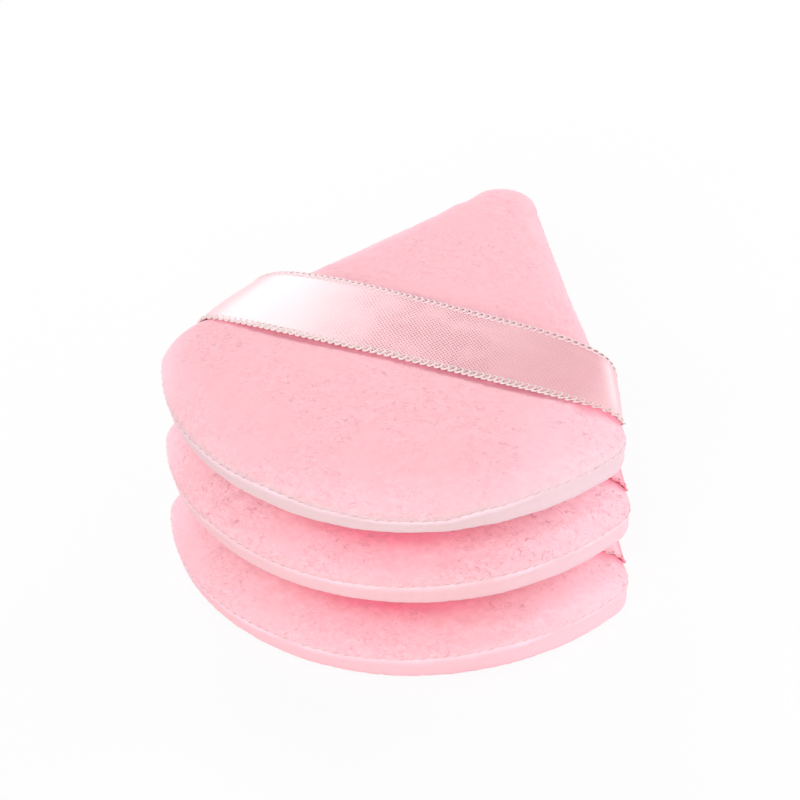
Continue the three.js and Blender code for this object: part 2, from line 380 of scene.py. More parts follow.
def outline(share, shape, inset=0.0):
    """Points of the puff's outline at shares of its length, drawn in by an even inset.

    Share 0 is the middle of the curved front and 0.5 the tip of the rounded point. The outward
    direction turns evenly along the front arc, the corner arc and the point arc, and holds still along
    the straight side; each point is its arc's centre plus its radius in that direction. The left half
    is the mirror image of the right half.
    """
    half_angle = shape.point_half_angle
    side_normal = np.array([math.cos(half_angle), math.sin(half_angle)])
    along_side = np.array([-side_normal[1], side_normal[0]])
    front_centre = np.array([0, shape.front_radius])
    point_centre = np.array([0, shape.length - shape.point_radius])
    foot = side_normal * (side_normal @ point_centre + shape.point_radius - shape.corner_radius)
    from_front = foot - front_centre
    half_way = from_front @ along_side
    reach = shape.front_radius - shape.corner_radius
    slide = -half_way - math.sqrt(half_way**2 - from_front @ from_front + reach**2)
    corner_centre = foot + along_side * slide
    side_start = corner_centre + side_normal * shape.corner_radius
    side_end = point_centre + side_normal * shape.point_radius
    front_end = math.atan2(*(corner_centre - front_centre)[::-1])
    pieces = [
        shape.front_radius * (front_end + math.pi / 2),
        shape.corner_radius * (half_angle - front_end),
        np.linalg.norm(side_end - side_start),
        shape.point_radius * (math.pi / 2 - half_angle),
    ]
    marks = np.concatenate([[0], np.cumsum(pieces)])
    walked = 2 * marks[-1] * np.mod(share, 1)
    mirrored = walked > marks[-1]
    walked = np.where(mirrored, 2 * marks[-1] - walked, walked)
    facing = np.interp(walked, marks, [-math.pi / 2, front_end, half_angle, half_angle, math.pi / 2])
    outward = np.stack([np.cos(facing), np.sin(facing)], axis=-1)
    w = walked[..., None]
    point = np.select(
        [w < marks[1], w < marks[2], w < marks[3]],
        [
            front_centre + shape.front_radius * outward,
            corner_centre + shape.corner_radius * outward,
            side_start + along_side * (w - marks[2]),
        ],
        point_centre + shape.point_radius * outward,
    )
    point = point - np.asarray(inset)[..., None] * outward
    point[..., 0] *= np.where(mirrored, -1, 1)
    point[..., 1] -= shape.length * shape.crown_centre
    return point


def outline_length(shape):
    return walked_along(outline(np.linspace(0, 1, 2000), shape))[-1]


def half_width(shape):
    """From the middle of the puff out to its right corner."""
    return outline(np.linspace(0, 1, 2000), shape)[:, 0].max()


def superellipse(turn, roundness):
    """A quarter of a superellipse with unit axes: turn 0 is its side and a right angle its top."""
    c = np.abs(np.cos(turn))
    s = np.abs(np.sin(turn))
    reach = (c**roundness + s**roundness) ** (-1 / roundness)
    return reach * c, reach * s


def dome_curve(shape, upper):
    """Height above or depth below the seam of one half of a puff, and its roundness."""
    if upper:
        return shape.crown_height, shape.crown_roundness
    return shape.base_depth, shape.base_roundness


def dome_middle(inset, tier, shape, upper):
    """Height of a dome's middle, drawn in by an inset. The stack's weight flattens the lowest base."""
    if upper:
        return shape.crown_height - inset
    return inset - shape.base_depth + (shape.rest_flat if tier == "bottom" else 0)


def cover_section(scene, upper):
    """Section of a cover from the middle of its dome to its lip in the seam, as a function of r.

    r runs evenly along the section from 0 at the middle to 1 at the lip. The lip is a quarter of an
    ellipse, out of the groove to where the cover is widest, and the dome is a superellipse on it.
    Returns r with the inset, the share of the way to the middle and the height at each step.
    """
    shape, seam = scene.puff_shape, scene.seam_shape
    height, roundness = dome_curve(shape, upper)
    turn = np.linspace(0, math.pi / 2, 1500)
    lip = seam.gap / 2
    widest = seam.groove_half_height
    out, up = superellipse(turn, roundness)
    inset = np.concatenate([seam.groove_depth * (1 - np.sin(turn)), np.zeros_like(turn)])
    share = np.concatenate([np.zeros_like(turn), 1 - out])
    high = np.concatenate([lip + (widest - lip) * (1 - np.cos(turn)), widest + (height - widest) * up])
    walked = walked_along(np.stack([half_width(shape) * share + inset, high], axis=-1))
    r = 1 - walked / walked[-1]
    return r[::-1], inset[::-1], share[::-1], high[::-1]


def seam_drop(x, tier, seam):
    """How far the seam wanders below its even line: smoothstep between the values at the stations."""
    stations = np.array(seam.stations)
    drops = np.array(getattr(seam, f"{tier}_drop"))
    place = np.interp(x, stations, np.arange(len(stations)))
    low = np.clip(np.floor(place).astype(int), 0, len(stations) - 2)
    return drops[low] + (drops[low + 1] - drops[low]) * smoothstep(place - low)


def disc_grid(count):
    """A square grid pushed out to a disc: each square ring of it becomes a circle.

    Returns r, 0 in the middle and 1 on the rim, and the share of a turn from the middle of the front.
    """
    a, b = np.meshgrid(np.linspace(-1, 1, count), np.linspace(-1, 1, count))
    safe_a = np.where(a == 0, 1, a)
    safe_b = np.where(b == 0, 1, b)
    turn = np.where(
        np.abs(a) >= np.abs(b),
        math.pi / 4 * b / safe_a + np.where(a < 0, math.pi, 0),
        math.pi / 2 - math.pi / 4 * a / safe_b + np.where(b < 0, math.pi, 0),
    )
    return np.maximum(np.abs(a), np.abs(b)), np.mod(turn / math.tau + 0.25, 1)


def rim_numbers(count):
    """Point numbers round the rim of a square grid, anticlockwise."""
    numbers = numbered(count, count)
    sides = [numbers[0, :-1], numbers[:-1, -1], numbers[-1, :0:-1], numbers[:0:-1, 0]]
    return np.concatenate(sides)


def dome_point(share_round, inset, share_in, height, tier, scene, upper):
    """A point of a cover, with its seam at height 0.

    It lies on the outline, drawn in by the inset, then moved towards the crown's middle by a share. The
    seam's wander fades over the wall of an upper cover, and over the whole depth of a lower one.
    """
    shape, seam = scene.puff_shape, scene.seam_shape
    flat = outline(share_round, shape, inset) * (1 - share_in)[..., None]
    drop = seam_drop(outline(share_round, shape)[..., 0], tier, seam)
    if upper:
        z = height - drop * (1 - smoothstep(height / seam.drop_reach))
    else:
        deep = height + drop * (1 - height / shape.base_depth)
        z = np.maximum(-deep, dome_middle(0.0, tier, shape, upper))
    return np.concatenate([flat, z[..., None]], axis=-1)


def dome_rings(share_round, count, inset, lip, tier, scene, upper):
    """Rings of a dome drawn in by an even inset, from a lip's height at the seam towards its middle.

    Their section is a quarter of a superellipse.
    """
    height, roundness = dome_curve(scene.puff_shape, upper)
    out, up = superellipse(np.linspace(0, math.pi / 2, count + 1)[:-1, None], roundness)
    high = lip + (height - inset - lip) * up
    rings = dome_point(share_round, np.full_like(out, inset), 1 - out, high, tier, scene, upper)
    if not upper:
        rings[..., 2] = np.maximum(rings[..., 2], dome_middle(inset, tier, scene.puff_shape, upper))
    return rings


def cover_skin(count, tier, scene, upper):
    """Points of a cover's outside on a square grid, with r and the share of a turn at each."""
    r, share_round = disc_grid(count)
    section = cover_section(scene, upper)
    inset, share_in, high = [np.interp(r, section[0], values) for values in section[1:]]
    return dome_point(share_round, inset, share_in, high, tier, scene, upper), r, share_round


def placed(points, tier, scene):
    """Points of a puff, turned and moved to its place in the stack."""
    shape, places = scene.puff_shape, scene.stack_places
    level = TIERS.index(tier)
    low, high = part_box("bottom_upper_cover")
    turn = places.turn[level]
    x = points[..., 0] * math.cos(turn) - points[..., 1] * math.sin(turn)
    y = points[..., 0] * math.sin(turn) + points[..., 1] * math.cos(turn)
    x += places.across[level] + (low.x + high.x) / 2
    y += places.along[level] + low.y + shape.length * shape.crown_centre
    return np.stack([x, y, points[..., 2] + seam_height(tier)], axis=-1)


# Cloth

def inflated(points, outward, limit):
    """How far a skin sewn down at its rim moves when air fills it, by cloth simulation.

    The skin is simulated twenty times as large, because the solver is set up for things of a metre.
    """
    scale, frames = 20, 20
    count = len(points)
    numbers = numbered(count, count)
    faces = grid_faces(numbers if outward else numbers[:, ::-1])
    skin = add_piece("cloth_skin", points * scale, [faces], None)
    skin.vertex_groups.new(name="sewn").add(rim_numbers(count).tolist(), 1.0, "REPLACE")
    cloth = skin.modifiers.new("Cloth", "CLOTH")
    cloth.settings.vertex_group_mass = "sewn"
    cloth.settings.use_pressure = True
    cloth.settings.uniform_pressure_force = 4
    cloth.settings.shrink_min = -0.015
    cloth.settings.tension_stiffness = 40
    cloth.settings.compression_stiffness = 40
    cloth.settings.bending_stiffness = 2
    cloth.settings.effector_weights.gravity = 0
    cloth.point_cache.frame_start = 1
    cloth.point_cache.frame_end = frames
    for number in range(1, frames + 1):
        bpy.context.scene.frame_set(number)
    moved = skin.evaluated_get(bpy.context.evaluated_depsgraph_get()).data
    result = np.empty(len(moved.vertices) * 3)
    moved.vertices.foreach_get("co", result)
    mesh = skin.data
    bpy.data.objects.remove(skin)
    bpy.data.meshes.remove(mesh)
    bpy.context.scene.frame_set(1)
    offset = result.reshape(count, count, 3) / scale - points
    far = np.linalg.norm(offset, axis=-1, keepdims=True)
    return offset * np.minimum(1, limit / np.maximum(far, 1e-9))


def refined(offset, count):
    """A coarse grid of offsets on a finer grid, by straight lines along its rows and its columns."""
    old = np.linspace(0, 1, len(offset))
    new = np.linspace(0, 1, count)
    for _ in range(2):
        rows = [[np.interp(new, old, line) for line in offset[..., k]] for k in range(3)]
        offset = np.stack(rows, axis=-1).transpose(1, 0, 2)
    return offset


# Materials

def add_node(tree, kind, inputs=None, out=0, **settings):
    """Adds a shader node with its settings and its links, and returns one of its outputs."""
    made = tree.nodes.new("ShaderNode" + kind)
    for key, value in settings.items():
        setattr(made, key, value)
    for key, value in (inputs or {}).items():
        if isinstance(value, bpy.types.NodeSocket):
            tree.links.new(value, made.inputs[key])
        else:
            made.inputs[key].default_value = value
    return made.outputs[out] if made.outputs else None


def new_material(name):
    """An empty node material and its tree."""
    material = bpy.data.materials.new(name)
    material.use_nodes = True
    material.node_tree.nodes.clear()
    return material, material.node_tree


def finish_material(material, relief, strength, depth, looks):
    """Ends a material with its looks, on a surface that a relief of a given depth makes uneven."""
    tree = material.node_tree
    bump = add_node(tree, "Bump", {"Height": relief, "Strength": strength, "Distance": depth})
    shader = add_node(tree, "BsdfPrincipled", {"Normal": bump, **looks})
    add_node(tree, "OutputMaterial", {"Surface": shader})
    return material


def velour(name, face, hem_colour, colours, flecks):
    """Brushed polyester velour: short dense pile on a knitted back.

    The eye sees an even matt pink with a soft bloom where the surface turns away, fine pale and dark
    ripples, scattered thin curved marks where the pile parts, painted shade in the low points of the pile,
    a paler hem along the seam, a painted highlight on the corners, the left side and the lower covers'
    lips, and painted shade, a deeper pink, in the folds.
    """
    material, tree = new_material(name)
    place = add_node(tree, "TexCoord", out="Object")
    pile, hem, pale, fold = [
        add_node(tree, "Attribute", out="Fac", attribute_name=key)
        for key in ("pile", "hem", "pale", "fold")
    ]
    # The nap runs across the puff, so that its marks lie crosswise
    combed = add_node(tree, "Mapping", {"Vector": place, "Scale": (0.55, 1.0, 1.0)})
    # Partings 1 mm apart, stretches of them 0.9 mm apart, drifts 9 mm wide, ripples of leaning tips
    # 0.5 mm apart, and tips, which are really 0.05 mm apart and drawn at 0.3 mm so that they show
    partings, patches, drift, ripples, tips = [
        add_node(
            tree, "TexNoise",
            {
                "Vector": vector, "Scale": 1 / (apart * MM), "Detail": detail, "Roughness": rough,
                "Distortion": bent,
            },
        )
        for vector, apart, detail, rough, bent in (
            (combed, 1.0, 1.0, 0.5, 0.8),
            (place, 0.9, 1.0, 0.6, 0.0),
            (place, 9.0, 1.0, 0.5, 0.0),
            (combed, 0.5, 1.0, 0.5, 1.2),
            (place, 0.3, 2.0, 0.7, 0.0),
        )
    ]
    from_line = add_node(tree, "Math", {0: partings, 1: 0.5}, operation="SUBTRACT")
    off_line = add_node(tree, "Math", {0: from_line}, operation="ABSOLUTE")
    line, patch, zone, gaps, low, high = [
        add_node(
            tree, "MapRange",
            {"Value": value, "From Min": start, "From Max": end, "To Min": least, "To Max": most},
            interpolation_type=blend,
        )
        for value, start, end, least, most, blend in (
            (off_line, 0.035, 0.0, 0.0, 0.85, "SMOOTHSTEP"),
            (patches, 0.45, 0.57, 0.0, 1.0, "SMOOTHSTEP"),
            (drift, 0.36, 0.56, 0.3 * flecks, flecks, "SMOOTHSTEP"),
            (pile, 0.15, -1.2, 0.0, 0.3 * flecks, "LINEAR"),
            (ripples, 0.5, 0.68, 0.0, 0.34, "LINEAR"),
            (ripples, 0.5, 0.32, 0.0, 0.22, "LINEAR"),
        )
    ]
    marks, low, high = [
        add_node(tree, "Math", {0: part, 1: share}, operation="MULTIPLY")
        for part, share in ((line, patch), (low, zone), (high, zone))
    ]
    # The marks and dark ripples join painted shade in the pile's low points (gaps)
    shade = add_node(tree, "Math", {0: marks, 1: zone}, operation="MULTIPLY")
    for part in (gaps, low):
        shade = add_node(tree, "Math", {0: shade, 1: part}, operation="MAXIMUM")
    light = add_node(tree, "Math", {0: high, 1: pale}, operation="MAXIMUM")
    # The hem gives the rim's colour, painted highlight mixes in the bloom colour and painted shade the fold
    # colour
    base = face
    for amount, towards in (
        (hem, hem_colour), (light, colours.bloom[:]), (fold, colours.fold[:]), (shade, colours.deep[:]),
    ):
        base = add_node(
            tree, "Mix", {0: amount, 6: base, 7: towards}, out=2, data_type="RGBA", clamp_result=True
        )
    return finish_material(material, tips, 0.35, 0.1 * MM, {
        "Base Color": base, "Roughness": 0.95, "IOR": 1.45, "Specular IOR Level": 0.1,
        "Sheen Weight": 0.7, "Sheen Roughness": 0.3, "Sheen Tint": colours.bloom[:],
    })


def foam_material(colours):
    """Open-cell polyurethane foam: matt and pale, pitted all over with burst cells 0.6 mm apart."""
    material, tree = new_material("open_cell_foam")
    place = add_node(tree, "TexCoord", out="Object")
    cells = add_node(tree, "TexVoronoi", {"Vector": place, "Scale": 1 / (0.6 * MM)})
    pit = add_node(tree, "MapRange", {"Value": cells, "From Min": 0.0, "From Max": 0.6})
    # Painted shade darkens the pits of the cells
    dark = [0.72 * c for c in colours.foam[:3]] + [1.0]
    base = add_node(tree, "Mix", {0: pit, 6: dark, 7: colours.foam[:]}, out=2, data_type="RGBA")
    return finish_material(material, pit, 0.7, 0.25 * MM, {
        "Base Color": base, "Roughness": 0.9, "Specular IOR Level": 0.3,
    })


def thread_material(colours):
    """Spun polyester sewing thread: two plies twisted, with a slight gloss along each ply."""
    material, tree = new_material("spun_polyester_thread")
    uv = add_node(tree, "UVMap", uv_map="cloth")
    # Real plies turn every 0.5 mm. They are drawn 2.5 mm apart along the thread, which leaves each
    # stitch one soft change of tone, because finer turns only blur
    twist = add_node(
        tree, "TexWave", {"Vector": uv, "Scale": 0.25 / MM, "Distortion": 0.4}, out="Fac",
        bands_direction="DIAGONAL",
    )
    dark = [0.9 * c for c in colours.thread[:3]] + [1.0]
    base = add_node(tree, "Mix", {0: twist, 6: dark, 7: colours.thread[:]}, out=2, data_type="RGBA")
    return finish_material(material, twist, 0.5, 0.04 * MM, {
        "Base Color": base, "Roughness": 0.6, "Specular IOR Level": 0.4, "Sheen Weight": 0.2,
    })


def satin_material(colours):
    """Polyester satin ribbon: warp floats that gleam, tied down at small points set in slanting rows.

    The eye sees a gloss that spreads across the ribbon over a fine check of darker tie points, clearer
    in some drifts than in others. Over the shoulders a painted highlight pales the ribbon and leaves its
    weave faint, and towards the right end the check is fainter and an even share of the tie colour darkens
    the ribbon.
    """
    material, tree = new_material("woven_polyester_satin")
    uv = add_node(tree, "UVMap", uv_map="cloth")
    # Real tie points are 0.2 mm apart, drawn 0.42 mm apart so that they show
    rows = []
    for degrees in (32, -50):
        turned = add_node(tree, "Mapping", {"Vector": uv, "Rotation": (0, 0, math.radians(degrees))})
        rows.append(add_node(
            tree, "TexWave",
            {
                "Vector": turned, "Scale": math.tau / (20 * 0.42 * MM), "Distortion": 2.2, "Detail": 1.0,
                "Detail Scale": 2.0,
            },
            out="Fac", bands_direction="X",
        ))
    check = add_node(tree, "Math", {0: rows[0], 1: rows[1]}, operation="MULTIPLY")
    drift = add_node(
        tree, "TexNoise", {"Vector": uv, "Scale": 1 / (4 * MM), "Detail": 3.0, "Roughness": 0.6}
    )
    walked = add_node(tree, "SeparateXYZ", {"Vector": uv})
    clear, left, right, apart, closed = [
        add_node(
            tree, "MapRange",
            {"Value": value, "From Min": start, "From Max": end, "To Min": least, "To Max": most},
        )
        for value, start, end, least, most in (
            (drift, 0.35, 0.65, 0.8, 2.2),
            (walked, 18 * MM, 36 * MM, 0.2, 1.0),
            (walked, 72 * MM, 63 * MM, 0.2, 1.0),
            (walked, 44 * MM, 51 * MM, 1.0, 0.25),
            (walked, 44 * MM, 51 * MM, 0.0, 0.16),
        )
    ]
    # Over both shoulders the ribbon keeps the painted highlight colour and a faint weave; flat is 1 along
    # the middle
    flat = add_node(tree, "Math", {0: left, 1: right}, operation="MULTIPLY")
    ties = check
    for amount in (clear, flat, flat, apart):
        ties = add_node(tree, "Math", {0: ties, 1: amount}, operation="MULTIPLY")
    ties = add_node(tree, "Math", {0: closed, 1: flat, 2: ties}, operation="MULTIPLY_ADD")
    # Painted shade deepens lower ribbons' ends where the puff above lies on them
    fold = add_node(tree, "Attribute", out="Fac", attribute_name="fold")
    base = colours.satin_highlight[:]
    for amount, towards in ((flat, colours.satin), (fold, colours.fold), (ties, colours.satin_tie)):
        base = add_node(
            tree, "Mix", {0: amount, 6: base, 7: towards[:]}, out=2, data_type="RGBA", clamp_result=True
        )
    return finish_material(material, check, 0.2, -0.03 * MM, {
        "Base Color": base, "Roughness": 0.38, "Specular IOR Level": 1.0,
        "Sheen Weight": 0.5, "Sheen Roughness": 0.3, "Sheen Tint": colours.bloom[:],
    })


def picot_material(colours):
    """Bulky polyester yarn of the looped edge: nearly white where it catches light, with painted shade grey
    inside the loops, pinker along the far edge and deeper pink on lower ribbons under the puff above.
    """
    material, tree = new_material("looped_picot_yarn")
    base = colours.picot[:]
    for key, towards in (("far", colours.picot_far), ("fold", colours.fold), ("inner", colours.picot_gap)):
        amount = add_node(tree, "Attribute", out="Fac", attribute_name=key)
        base = add_node(tree, "Mix", {0: amount, 6: base, 7: towards[:]}, out=2, data_type="RGBA")
    place = add_node(tree, "TexCoord", out="Object")
    fibres = add_node(tree, "TexNoise", {"Vector": place, "Scale": 1 / (0.15 * MM), "Detail": 1.0})
    return finish_material(material, fibres, 0.3, 0.05 * MM, {
        "Base Color": base, "Roughness": 0.55, "Specular IOR Level": 0.5, "Sheen Weight": 0.3,
    })


def seen_directly(tree):
    """1 for rays from the camera, a mirror or a glass, and 0 for rays that carry light."""
    rays = tree.nodes.new("ShaderNodeLightPath").outputs
    seen = rays["Is Camera Ray"]
    for kind in ("Is Glossy Ray", "Is Transmission Ray"):
        seen = add_node(tree, "Math", {0: seen, 1: rays[kind]}, operation="MAXIMUM")
    return seen


def floor_material():
    """Matt white paper that all but vanishes to the eye, and keeps a breath of the stack's shadow."""
    material, tree = new_material("matt_white_paper")
    paper = add_node(tree, "BsdfDiffuse", {"Color": (0.9, 0.9, 0.9, 1)})
    white = add_node(tree, "Emission", {"Strength": 1.0})
    share = add_node(tree, "Math", {0: seen_directly(tree), 1: 0.9}, operation="MULTIPLY")
    shader = add_node(tree, "MixShader", {0: share, 1: paper, 2: white})
    add_node(tree, "OutputMaterial", {"Surface": shader})
    return material


# Folds

def outside_puff_above(points, tier, scene):
    """How far points of a puff lie outside the outline of the puff above, seen from above.

    The points are turned into that puff's own frame, where its outline is a radius for each direction
    from its middle.
    """
    places = scene.stack_places
    level = TIERS.index(tier)
    turn = places.turn[level + 1] - places.turn[level]
    x = points[..., 0] - places.across[level + 1] + places.across[level]
    y = points[..., 1] - places.along[level + 1] + places.along[level]
    x, y = x * math.cos(turn) + y * math.sin(turn), y * math.cos(turn) - x * math.sin(turn)
    loop = outline(np.linspace(0, 1, 1500, endpoint=False), scene.puff_shape)
    facing = np.arctan2(loop[:, 1], loop[:, 0])
    return np.hypot(x, y) - np.interp(np.arctan2(y, x), facing, np.hypot(*loop.T), period=math.tau)


def crevice_shade(points, tier, scene):
    """How strongly painted shade deepens the pile's pink, from 0 to 1: in the crevice under the puff
    above, under the ribbon and just in front of its near edge, where shade falls.

    It falls off as exp(-d / fold reach) from the fold depth out to the edge of the puff above, as a bell
    curve to both sides, and by smoothstep towards the middle of the puff and its point. In front of the
    ribbon's near edge it falls off by smoothstep over the crease reach, which widens towards the right end.
    """
    velours = scene.velour_shape
    x, y = points[..., 0], points[..., 1]
    ahead, behind = off_ribbon(points, scene)
    ragged = velours.ragged * smooth_noise(points, velours.ragged_spacing, 90 + TIERS.index(tier))
    # Towards the ribbon's right end the crease's painted shade is deeper and wider
    at_end = ramp(x, 25, 30)
    near = 1 - smoothstep((ahead + ragged) / (velours.crease_reach * (1 + 1.6 * at_end)))
    crease = (0.6 + 0.3 * at_end) * near * (1 - ramp(behind, -0.5, 0))
    if tier == "top":
        return crease
    outside = outside_puff_above(points, tier, scene)
    short = np.maximum(outside + velours.fold_depth + ragged, 0)
    aside = (x - velours.fold_middle) / velours.fold_spread
    # Less painted shade deep under the puff above, and towards the point
    shade_share = (1 - 0.75 * ramp(-outside, 9, 17)) * (1 - 0.5 * ramp(y, 0, 12))
    return np.maximum(crease, shade_share * np.exp(-short / velours.fold_reach - aside**2))


def ribbon_shade(points, tier, scene):
    """How strongly painted shade deepens a ribbon's colour where the puff above lies on it, by smoothstep
    within 6 mm of that puff's edge.
    """
    if tier == "top":
        return np.zeros(points.shape[:-1])
    return 0.9 * (1 - ramp(np.abs(outside_puff_above(points, tier, scene)), 0, 6))


# Ribbon

def between(edges, across):
    """A value at a place across the ribbon, from its values at the near and the far edge."""
    return edges[0] + (edges[1] - edges[0]) * across


def line_y(across, x, scene):
    """How far back a lengthwise line of the ribbon runs: a straight line, swept back by two powers of x.

    The 14th power leaves all but the last few millimetres as they are.
    """
    shape, ribbon = scene.puff_shape, scene.ribbon_shape
    straight = ribbon.from_front + ribbon.width * (across - 0.5) + between(ribbon.slope, across) * x
    share = np.abs(x / half_width(shape))
    swept = between(ribbon.sweep, across) * share**ribbon.sweep_power
    turned = between(ribbon.end_sweep, across) * share**14
    return straight + swept + turned - shape.length * shape.crown_centre


def off_ribbon(points, scene):
    """How far points lie in front of the ribbon's near edge, and how far behind its far edge."""
    x, y = points[..., 0], points[..., 1]
    return line_y(0.0, x, scene) - y, y - line_y(1.0, x, scene)


def ribbon_crossings(across, scene):
    """Where lengthwise lines of the ribbon meet the outline's left and its right side."""
    right = outline(np.linspace(0, 0.5, 1500), scene.puff_shape)
    found = []
    for side in (right * [-1, 1], right):
        past = [side[:, 1] - line_y(w, side[:, 0], scene) for w in across]
        found.append([np.interp(0, values, side[:, 0]) for values in past])
    return found


def ribbon_point(along, across, raised, tier, scene):
    """A point of the ribbon's bow over the crown, raised above its underside.

    along runs from 0 at the left end to 1 at the right end, across from 0 at the near edge to 1 at the
    far one. The bow is a superellipse that spans the two crossings of the outline, softer on the left,
    and its ends turn in to the seam below them.
    """
    seam, ribbon = scene.seam_shape, scene.ribbon_shape
    lines = np.linspace(0, 1, 41)
    left, right = [np.interp(across, lines, ends) for ends in ribbon_crossings(lines, scene)]
    on_left = along < 0.5
    roundness, gap = [
        np.where(on_left, between(of_left, across), between(of_right, across))
        for of_left, of_right in (
            (ribbon.left_roundness, ribbon.right_roundness), (ribbon.left_gap, ribbon.right_gap),
        )
    ]
    out, up = superellipse(math.pi * along, roundness)
    z = (between(ribbon.height, across) + raised) * up
    if tier != "top":
        # The puff above presses the ends flat, to 0.3 of their bow
        gap = 0.3 * gap
    bow = -ribbon.tuck + (ribbon.tuck + gap + raised) * smoothstep(z / seam.groove_half_height)
    side = np.where(on_left, -1, 1)
    x = (left + right) / 2 + side * out * ((right - left) / 2 + bow)
    z = z - seam_drop(x, tier, seam) * (1 - smoothstep(z / seam.drop_reach))
    return np.stack([x, line_y(across, x, scene), z], axis=-1)


def even_along(count, start, end, tier, scene):
    """Values of along at even distances over the middle line of the ribbon, and those distances."""
    fine = np.linspace(0, 1, 3000)
    walked = walked_along(ribbon_point(fine, 0.5, 0.0, tier, scene))
    wanted = np.linspace(*np.interp([start, end], fine, walked), count)
    return np.interp(wanted, walked, fine), wanted


def ribbon_half(name, tier, start, end, material, scene):
    """A stretch of the satin: a closed thin band, its upper and its lower face joined round the edge."""
    ribbon = scene.ribbon_shape
    # The satin reaches a little way in under the loops
    margin = 0.4 * ribbon.picot_width / ribbon.width
    along, walked = even_along(220, start, end, tier, scene)
    across = np.linspace(margin, 1 - margin, 36)
    over, under = [
        ribbon_point(along[:, None], across, raised, tier, scene) for raised in (ribbon.thickness, 0.0)
    ]
    section = np.concatenate([over, under[:, ::-1]], axis=1)
    ripple = smooth_noise(section * [1, 1, 0], ribbon.ripple_spacing, TIERS.index(tier) + 40)
    section[..., 2] += ribbon.ripple * ripple
    numbers = numbered(*section.shape[:2])
    # A strip of faces closes each end
    half = len(across)
    first, last = [np.stack([row[:half], row[half:][::-1]]) for row in (numbers[0], numbers[-1])]
    strips = [grid_faces(numbers, wrap=True), grid_faces(first[:, ::-1]), grid_faces(last)]
    uv = np.stack(np.meshgrid(walked, across * ribbon.width, indexing="ij"), axis=-1)
    # The fold attribute is painted shade where the puff above lies on a lower ribbon
    piece = add_piece(
        name, placed(section, tier, scene), [faces[:, ::-1] for faces in strips], material,
        {"fold": ribbon_shade(section, tier, scene)}, np.concatenate([uv, uv[:, ::-1]], axis=1),
    )
    piece.data.set_sharp_from_angle(angle=SHARP)
    return piece, walked[-1] - walked[0]


def picot_loops(name, tier, start, end, material, scene):
    """Rows of small slanted yarn loops along both edges of a stretch of the ribbon.

    Each loop is a ring of yarn: its centre line is an ellipse between the satin's edge and the outer
    edge, leaning along the ribbon, and rises on one side so that neighbours overlap.
    """
    ribbon = scene.ribbon_shape
    yarn = ribbon.picot_yarn
    steps, sides = 10, 6
    _, ends = even_along(2, 0.0, 1.0, tier, scene)
    count = round((ends[1] - ends[0]) / ribbon.picot_pitch)
    centres = even_along(count + 1, 0.0, 1.0, tier, scene)[0][1:-1]
    centres = centres[(centres > start) & (centres <= end), None, None]
    t = np.linspace(0, math.tau, steps, endpoint=False)[:, None]
    k = np.linspace(0, math.tau, sides, endpoint=False)
    # Distances of the yarn's skin from the middle of its loop, along the ribbon and across it
    half_along = ribbon.picot_pitch / 2 - (1 - ribbon.picot_overlap) * yarn
    e = (half_along + yarn * np.cos(k)) * np.sin(t)
    o = (ribbon.picot_width / 2 - yarn + yarn * np.cos(k)) * np.cos(t)
    lift = ribbon.thickness / 2 + ribbon.picot_lift + yarn * np.sin(k) + ribbon.picot_rise * np.sin(t)
    rows = []
    for edge, outward in ((0.0, -1), (1.0, 1)):
        across = edge + outward * (o - ribbon.picot_width / 2) / ribbon.width
        base, ahead = [ribbon_point(centres + on, across, lift, tier, scene) for on in (0.0, 0.002)]
        rows.append(base + unit(ahead - base) * (e + outward * ribbon.picot_slant * o)[..., None])
    points = np.concatenate(rows)
    # Closed round the yarn's skin and round the loop
    numbers = numbered(*points.shape[:3]).transpose(0, 2, 1)
    quads = grid_faces(np.concatenate([numbers, numbers[:, :1]], axis=1), wrap=True)
    near, far = np.split(quads, 2)
    # inner is painted shade inside the loops, far painted shade along the far edge, fold painted shade
    # under the puff above
    values = {
        "inner": np.broadcast_to(smoothstep(-1.2 * np.cos(k) - 0.2), points.shape[:3]),
        "far": np.repeat([0.0, 1.0], points.size // 6),
        "fold": ribbon_shade(points, tier, scene),
    }
    return add_piece(name, placed(points, tier, scene), [near[:, ::-1], far], material, values)


# Operators

